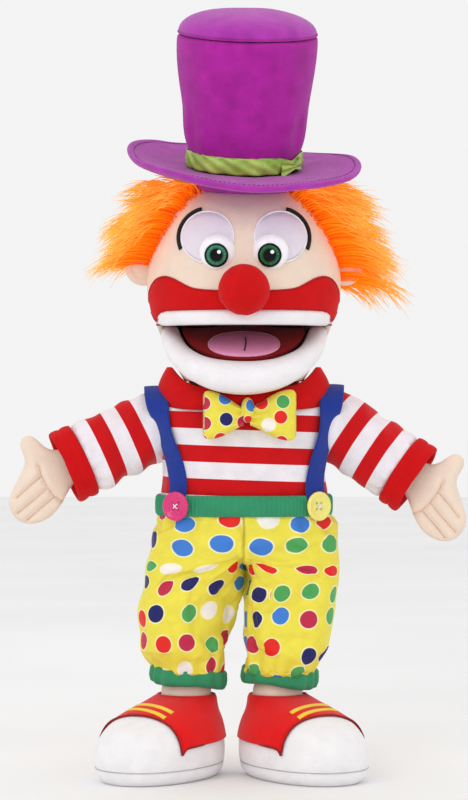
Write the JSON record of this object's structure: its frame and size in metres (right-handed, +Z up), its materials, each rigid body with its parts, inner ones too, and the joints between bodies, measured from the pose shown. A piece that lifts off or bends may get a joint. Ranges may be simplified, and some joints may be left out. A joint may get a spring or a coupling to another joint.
{
  "type": "hand puppet",
  "caption": "Full-figure clown hand puppet in sewn cloth: a hand from behind works its hinged mouth; turning neck, hanging arms and legs, tall hat",
  "frame": {"origin": "middle of the mouth hinge line, where the palm of the hand inside sits", "axes": "+Z up, the puppet faces -Y, and its left side is at +X"},
  "size_m": [0.3832, 0.2006, 0.6356],
  "materials": {
    "head_shell": "napped polyester fleece",
    "upper_mouth_plate": "plain board",
    "upper_mouth_lining": "brushed felt",
    "upper_lip": "napped fleece",
    "moustache": "felt, satin-stitched edge",
    "nose": "fleece over filling",
    "finger_strap": "woven elastic",
    "hair_back": "long-pile faux fur",
    "hair_left": "long-pile faux fur",
    "hair_right": "long-pile faux fur",
    "hat_brim": "fleece over foam",
    "hat_crown": "fleece over foam",
    "hat_top": "fleece over foam",
    "hat_band": "satin ribbon",
    "lower_mouth_plate": "plain board",
    "lower_mouth_lining": "brushed felt",
    "tongue": "felt",
    "lower_lip": "napped fleece",
    "chin_shell": "napped polyester fleece",
    "thumb_strap": "woven elastic",
    "neck_tube": "napped polyester fleece",
    "shirt_body": "brushed knit",
    "collar": "brushed knit",
    "bow_left": "printed cotton",
    "bow_right": "printed cotton",
    "bow_knot": "printed cotton",
    "waistband": "knit ribbing",
    "trouser_seat": "printed satin",
    "left_eye_patch": "felt",
    "left_eyebrow": "satin stitch",
    "left_eyeball": "polished",
    "left_iris": "polished",
    "left_ear": "napped polyester fleece",
    "left_suspender": "woven webbing",
    "left_button": "moulded",
    "left_sleeve": "brushed knit",
    "left_cuff": "brushed knit",
    "left_hand": "napped polyester fleece",
    "left_trouser_leg": "printed satin",
    "left_trouser_cuff": "satin binding",
    "left_ankle": "napped polyester fleece",
    "left_shoe": "napped fleece",
    "left_shoe_upper": "felt",
    "right_eye_patch": "felt",
    "right_eyebrow": "satin stitch",
    "right_eyeball": "polished",
    "right_iris": "polished",
    "right_ear": "napped polyester fleece",
    "right_suspender": "woven webbing",
    "right_button": "moulded",
    "right_sleeve": "brushed knit",
    "right_cuff": "brushed knit",
    "right_hand": "napped polyester fleece",
    "right_trouser_leg": "printed satin",
    "right_trouser_cuff": "satin binding",
    "right_ankle": "napped polyester fleece",
    "right_shoe": "napped fleece",
    "right_shoe_upper": "felt"
  },
  "bodies": {
    "head": {"head_shell": "head_shell", "upper_mouth_plate": "upper_mouth_plate", "upper_mouth_lining": "upper_mouth_lining", "upper_lip": "upper_lip", "moustache": "moustache", "nose": "nose", "finger_strap": "finger_strap", "hair_back": "hair_back", "hair_left": "hair_left", "hair_right": "hair_right", "hat_brim": "hat_brim", "hat_crown": "hat_crown", "hat_top": "hat_top", "hat_band": "hat_band", "left_eye_patch": "left_eye_patch", "left_eyebrow": "left_eyebrow", "left_eyeball": "left_eyeball", "left_iris": "left_iris", "left_ear": "left_ear", "right_eye_patch": "right_eye_patch", "right_eyebrow": "right_eyebrow", "right_eyeball": "right_eyeball", "right_iris": "right_iris", "right_ear": "right_ear"},
    "jaw": {"lower_mouth_plate": "lower_mouth_plate", "lower_mouth_lining": "lower_mouth_lining", "tongue": "tongue", "lower_lip": "lower_lip", "chin_shell": "chin_shell", "thumb_strap": "thumb_strap"},
    "neck": {"neck_tube": "neck_tube"},
    "torso": {"shirt_body": "shirt_body", "collar": "collar", "bow_left": "bow_left", "bow_right": "bow_right", "bow_knot": "bow_knot", "waistband": "waistband", "trouser_seat": "trouser_seat", "left_suspender": "left_suspender", "right_suspender": "right_suspender", "left_button": "left_button", "right_button": "right_button"},
    "left_arm": {"left_sleeve": "left_sleeve", "left_cuff": "left_cuff"},
    "left_hand": {"left_hand": "left_hand"},
    "left_leg": {"left_trouser_leg": "left_trouser_leg", "left_trouser_cuff": "left_trouser_cuff"},
    "left_foot": {"left_ankle": "left_ankle", "left_shoe": "left_shoe", "left_shoe_upper": "left_shoe_upper"},
    "right_arm": {"right_sleeve": "right_sleeve", "right_cuff": "right_cuff"},
    "right_hand": {"right_hand": "right_hand"},
    "right_leg": {"right_trouser_leg": "right_trouser_leg", "right_trouser_cuff": "right_trouser_cuff"},
    "right_foot": {"right_ankle": "right_ankle", "right_shoe": "right_shoe", "right_shoe_upper": "right_shoe_upper"}
  },
  "joints": [
    {"name": "jaw_hinge", "type": "hinge", "parent": "head", "child": "jaw", "pos_m": [0, 0, 0], "axis": [1, 0, 0], "range_deg": [-20, 5], "deforming": ["neck_tube", "collar", "bow_left", "bow_right", "bow_knot"]},
    {"name": "neck_turn", "type": "hinge", "parent": "head", "child": "neck", "pos_m": [0, 0.016, -0.047], "axis": [0, 0, 1], "range_deg": [-30, 30], "deforming": ["neck_tube", "collar", "bow_left", "bow_right", "bow_knot"]},
    {"name": "neck_nod", "type": "hinge", "parent": "neck", "child": "torso", "pos_m": [0, 0.016, -0.058], "axis": [1, 0, 0], "range_deg": [-5, 12], "deforming": ["neck_tube", "collar", "bow_left", "bow_right", "bow_knot"]},
    {"name": "left_shoulder", "type": "hinge", "parent": "torso", "child": "left_arm", "pos_m": [0.084, 0.014, -0.088], "axis": [0, -1, 0], "range_deg": [-22, 64]},
    {"name": "left_wrist", "type": "hinge", "parent": "left_arm", "child": "left_hand", "pos_m": [0.14285, 0.0015, -0.12755], "axis": [0, -1, 0], "range_deg": [-20, 16]},
    {"name": "left_hip", "type": "hinge", "parent": "torso", "child": "left_leg", "pos_m": [0.0385, 0.012, -0.208], "axis": [-1, 0, 0], "range_deg": [-15, 60]},
    {"name": "left_ankle_bend", "type": "hinge", "parent": "left_leg", "child": "left_foot", "pos_m": [0.0285, 0.012, -0.31], "axis": [-1, 0, 0], "range_deg": [-20, 18]},
    {"name": "right_shoulder", "type": "hinge", "parent": "torso", "child": "right_arm", "pos_m": [-0.084, 0.014, -0.088], "axis": [0, 1, 0], "range_deg": [-30, 56]},
    {"name": "right_wrist", "type": "hinge", "parent": "right_arm", "child": "right_hand", "pos_m": [-0.14847, 0.0015, -0.11752], "axis": [0, 1, 0], "range_deg": [-20, 16]},
    {"name": "right_hip", "type": "hinge", "parent": "torso", "child": "right_leg", "pos_m": [-0.0385, 0.012, -0.208], "axis": [-1, 0, 0], "range_deg": [-15, 60]},
    {"name": "right_ankle_bend", "type": "hinge", "parent": "right_leg", "child": "right_foot", "pos_m": [-0.0485, 0.012, -0.31], "axis": [-1, 0, 0], "range_deg": [-20, 18]}
  ]
}
